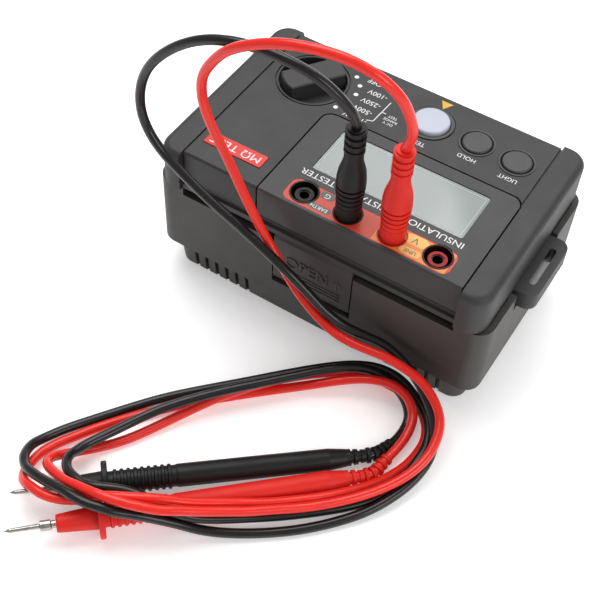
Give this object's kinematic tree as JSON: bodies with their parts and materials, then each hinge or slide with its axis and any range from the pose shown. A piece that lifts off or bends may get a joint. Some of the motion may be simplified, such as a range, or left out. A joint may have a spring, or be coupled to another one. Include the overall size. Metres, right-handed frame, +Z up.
{
  "type": "insulation resistance tester",
  "caption": "Hand-held insulation resistance tester standing in its protective lid, with range knob, keys, display, banana sockets and two coiled probe leads.",
  "frame": {"origin": "on the floor, under the middle of the case", "axes": "+X along the long side, -Y the edge with the terminals, +Z up out of the front panel"},
  "size_m": [0.162, 0.2311, 0.1544],
  "materials": {
    "case_plastic": "fine textured moulding",
    "black_plastic": "satin moulding",
    "key_grey": "satin key",
    "key_white": "milky key",
    "white_print": "white ink",
    "label_orange": "printed film",
    "badge_red": "lacquered plate",
    "mark_yellow": "printed film",
    "socket_red": "glossy insulator",
    "clear_window": "clear window",
    "lcd_glass": "grey-green display glass",
    "backlight": "light guide",
    "rubber_seal": "soft rubber",
    "switch_white": "natural plastic",
    "steel": "bright steel",
    "nickel": "nickel plate",
    "brass": "plain brass",
    "board_green": "lacquered laminate",
    "winding": "taped winding",
    "capacitor": "shrink sleeve",
    "lead_black": "soft glossy jacket",
    "lead_red": "soft glossy jacket"
  },
  "bodies": {
    "lid": {"lid_shell": "case_plastic", "latch_pins": "steel"},
    "front_latch": {"front_latch": "case_plastic"},
    "rear_latch": {"rear_latch": "case_plastic"},
    "knob": {"rotary_knob": "black_plastic", "pointer_line": "white_print", "knob_shaft": "steel", "switch_rotor": "switch_white", "wiper_contacts": "brass"},
    "test_button": {"test_button": "key_white"},
    "hold_button": {"hold_button": "key_grey"},
    "light_button": {"light_button": "key_grey"},
    "tester": {"aa_cells": "steel", "badge_plate": "badge_red", "battery_contacts": "steel", "battery_door": "case_plastic", "black_cord": "lead_black", "black_plug_boot": "lead_black", "black_plug_pin": "nickel", "black_probe_body": "lead_black", "black_probe_tip": "nickel", "black_strain_relief": "lead_black", "board_chips": "black_plastic", "board_screws": "steel", "buzzer": "black_plastic", "case_screws": "steel", "case_seal": "rubber_seal", "display_window": "clear_window", "door_screw": "steel", "earth_socket": "black_plastic", "face_insert": "case_plastic", "guard_socket": "black_plastic", "hv_capacitors": "capacitor", "hv_transformer": "winding", "lcd_backlight": "backlight", "lcd_frame": "black_plastic", "lcd_glass": "lcd_glass", "line_socket": "socket_red", "lower_case": "case_plastic", "main_board": "board_green", "red_cord": "lead_red", "red_plug_boot": "lead_red", "red_plug_pin": "nickel", "red_probe_body": "lead_red", "red_probe_tip": "nickel", "red_strain_relief": "lead_red", "relay": "switch_white", "switch_housing": "black_plastic", "tact_switches": "steel", "terminal_label": "label_orange", "terminal_sleeves": "brass", "triangle_mark": "mark_yellow", "upper_case": "case_plastic", "volt_socket": "black_plastic", "zebra_strips": "rubber_seal"}
  },
  "joints": [
    {"name": "case_lift", "type": "slide", "parent": "lid", "child": "tester", "axis": [0, 0, 1], "range_m": [0, 0.05]},
    {"name": "front_latch_pull", "type": "hinge", "parent": "lid", "child": "front_latch", "pos_m": [0, -0.04275, 0.0272], "axis": [1, 0, 0], "range_deg": [0, 8], "stiffness_Nm_per_rad": 0.02, "springref_deg": -2.86},
    {"name": "rear_latch_pull", "type": "hinge", "parent": "lid", "child": "rear_latch", "pos_m": [0, 0.04275, 0.0272], "axis": [-1, 0, 0], "range_deg": [0, 8], "stiffness_Nm_per_rad": 0.02, "springref_deg": -2.86},
    {"name": "range_switch", "type": "hinge", "parent": "tester", "child": "knob", "pos_m": [-0.0412, 0.0207, 0.07], "axis": [0, 0, 1], "range_deg": [-120, 30]},
    {"name": "test_press", "type": "slide", "parent": "tester", "child": "test_button", "axis": [0, 0, -1], "range_m": [0, 0.0012], "stiffness_N_per_m": 800, "springref_m": -0.0002},
    {"name": "hold_press", "type": "slide", "parent": "tester", "child": "hold_button", "axis": [0, 0, -1], "range_m": [0, 0.0012], "stiffness_N_per_m": 800, "springref_m": -0.0002},
    {"name": "light_press", "type": "slide", "parent": "tester", "child": "light_button", "axis": [0, 0, -1], "range_m": [0, 0.0012], "stiffness_N_per_m": 800, "springref_m": -0.0002}
  ]
}
